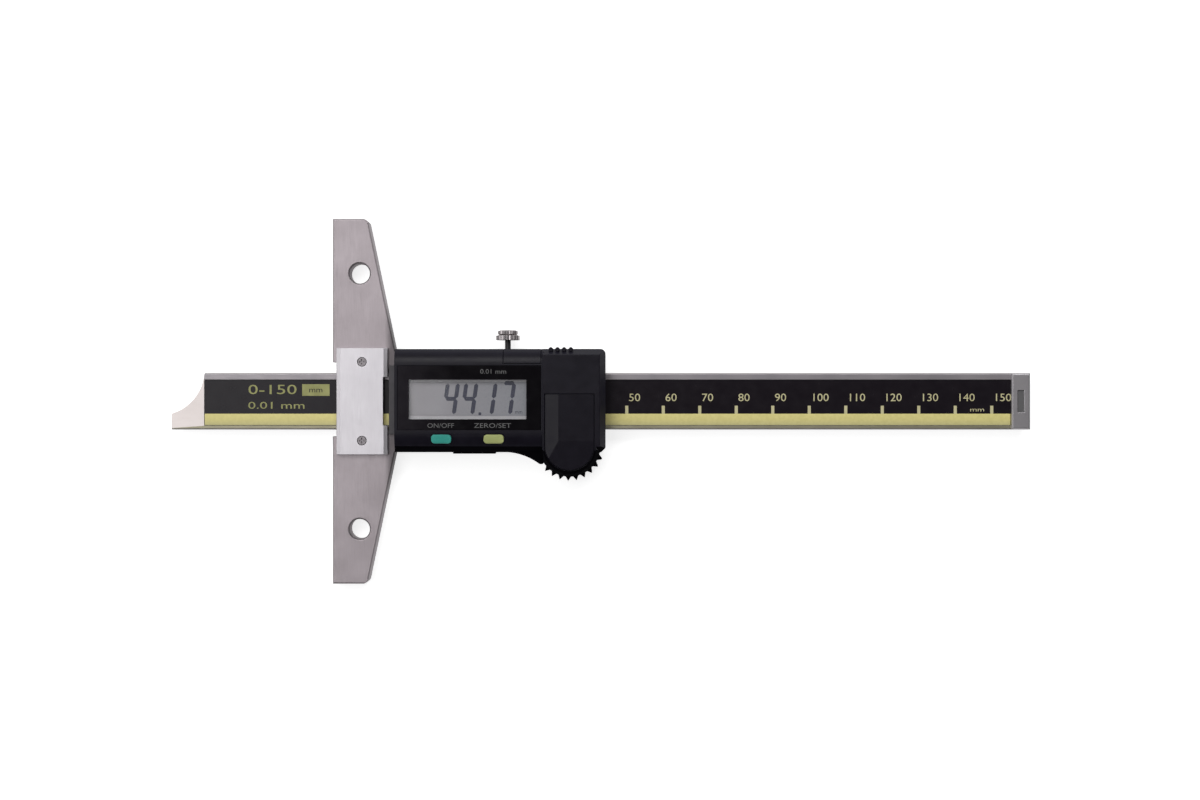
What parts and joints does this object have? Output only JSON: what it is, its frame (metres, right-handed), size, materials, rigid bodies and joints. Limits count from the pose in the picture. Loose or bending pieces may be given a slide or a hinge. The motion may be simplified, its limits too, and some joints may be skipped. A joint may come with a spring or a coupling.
{
  "type": "digital depth gauge",
  "caption": "Digital depth gauge: a T-shaped steel base with flat measuring faces, a beam that slides through it, and a plastic housing with display, buttons and clamp screw.",
  "frame": {"origin": "back face of the base, on the plane of its measuring faces and on the beam's middle line", "axes": "-X out of the measuring faces, +Y along the base towards the clamp screw, +Z out of the display"},
  "size_m": [0.235, 0.1, 0.0157],
  "materials": {
    "base_steel": "ground satin",
    "plate_steel": "ground satin",
    "beam_steel": "ground satin",
    "screw_steel": "dark",
    "clamp_steel": "plated",
    "stop_steel": "satin",
    "brass": "plain",
    "contact_metal": "plated",
    "cell_steel": "bright",
    "housing_plastic": "satin",
    "face_plastic": "glossy",
    "window_clear": "clear",
    "lcd_grey": "smooth",
    "white_plastic": "moulded",
    "connector_rubber": "soft",
    "board_green": "solder mask",
    "chip_black": "moulded",
    "scale_print": "printed",
    "button_green": "moulded",
    "button_yellow": "moulded"
  },
  "bodies": {
    "gauge_body": {"base": "base_steel", "cover_plate": "plate_steel", "cover_plate_screws": "screw_steel", "gib": "brass", "gib_screws": "screw_steel", "housing": "housing_plastic", "housing_screws": "screw_steel", "bulge_cover": "housing_plastic", "bulge_cover_screws": "screw_steel", "face_sheet": "face_plastic", "display_window": "window_clear", "lcd_panel": "lcd_grey", "lcd_holder": "white_plastic", "lcd_connectors": "connector_rubber", "circuit_board": "board_green", "processor_chip": "chip_black", "board_components": "contact_metal", "tact_switches": "chip_black", "battery": "cell_steel", "battery_contact_plus": "contact_metal", "battery_contact_minus": "contact_metal", "data_connector": "chip_black", "connector_pins": "contact_metal"},
    "beam": {"beam": "beam_steel", "scale_strip": "board_green", "scale_cover": "scale_print", "end_stop": "stop_steel", "end_stop_screws": "screw_steel"},
    "clamp_shoe": {"clamp_shoe": "brass"},
    "clamp_screw": {"clamp_screw": "clamp_steel"},
    "power_button": {"power_button": "button_green"},
    "zero_button": {"zero_button": "button_yellow"},
    "battery_cover": {"battery_cover": "housing_plastic"},
    "port_cover": {"port_cover": "housing_plastic"}
  },
  "joints": [
    {"name": "beam_slide", "type": "slide", "parent": "gauge_body", "child": "beam", "axis": [-1, 0, 0], "range_m": [-0.04417, 0.11]},
    {"name": "clamp_travel", "type": "slide", "parent": "gauge_body", "child": "clamp_shoe", "axis": [0, -1, 0], "range_m": [-0.0012, 0.0002]},
    {"name": "clamp_turn", "type": "hinge", "parent": "clamp_shoe", "child": "clamp_screw", "pos_m": [0.0479, 0.0142, 0.0044], "axis": [0, -1, 0], "range_deg": [-1081, 181]},
    {"name": "power_press", "type": "slide", "parent": "gauge_body", "child": "power_button", "axis": [0, 0, -1], "range_m": [0, 0.0004], "stiffness_N_per_m": 800, "springref_m": -0.0004},
    {"name": "zero_press", "type": "slide", "parent": "gauge_body", "child": "zero_button", "axis": [0, 0, -1], "range_m": [0, 0.0004], "stiffness_N_per_m": 800, "springref_m": -0.0004},
    {"name": "battery_cover_lift", "type": "slide", "parent": "gauge_body", "child": "battery_cover", "axis": [0, 0, 1], "range_m": [0, 0.008]},
    {"name": "port_cover_pull", "type": "slide", "parent": "gauge_body", "child": "port_cover", "axis": [0, 1, 0], "range_m": [0, 0.006]}
  ],
  "couplings": [
    {"joint": "clamp_turn", "follows": "clamp_travel", "rad_per_m": 15708}
  ]
}
